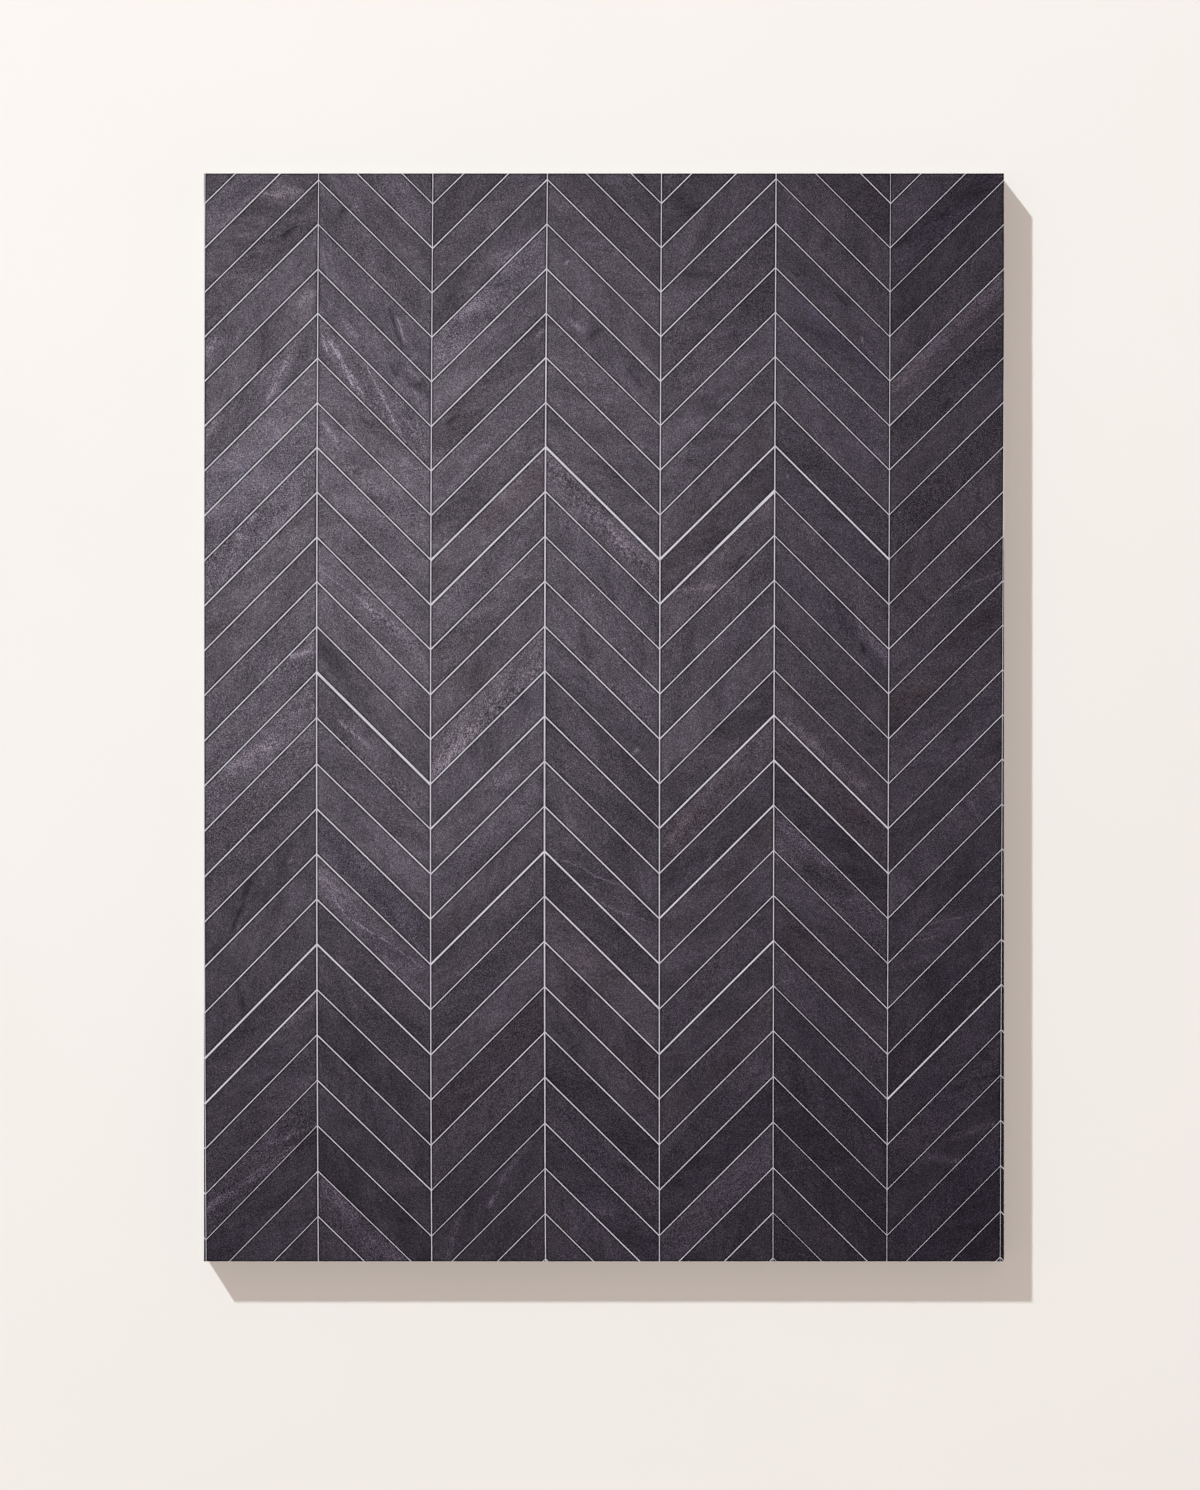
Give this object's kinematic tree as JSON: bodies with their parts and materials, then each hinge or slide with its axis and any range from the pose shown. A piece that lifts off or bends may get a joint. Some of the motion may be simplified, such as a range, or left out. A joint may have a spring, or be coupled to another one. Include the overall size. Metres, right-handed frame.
{
  "type": "chevron wall tile panel",
  "caption": "Rectangular wall tile panel of slanted dark stone strips laid point to point in a chevron, grouted, on a backer board.",
  "frame": {"origin": "centre of the backer board's rear face, which is the bottom of the panel as it lies", "axes": "+Z out of the tiled face, +Y along the columns towards the arrow points, +X across the columns to the right"},
  "size_m": [0.8, 1.088, 0.0255],
  "materials": {
    "slate": "honed, riven in places",
    "grout": "matte",
    "tile_adhesive": "matte",
    "cement_board": "matte"
  },
  "bodies": {
    "root": {"backer_board": "cement_board", "adhesive_bed": "tile_adhesive", "grout": "grout", "rising_strips": "slate", "falling_strips": "slate"}
  },
  "joints": []
}
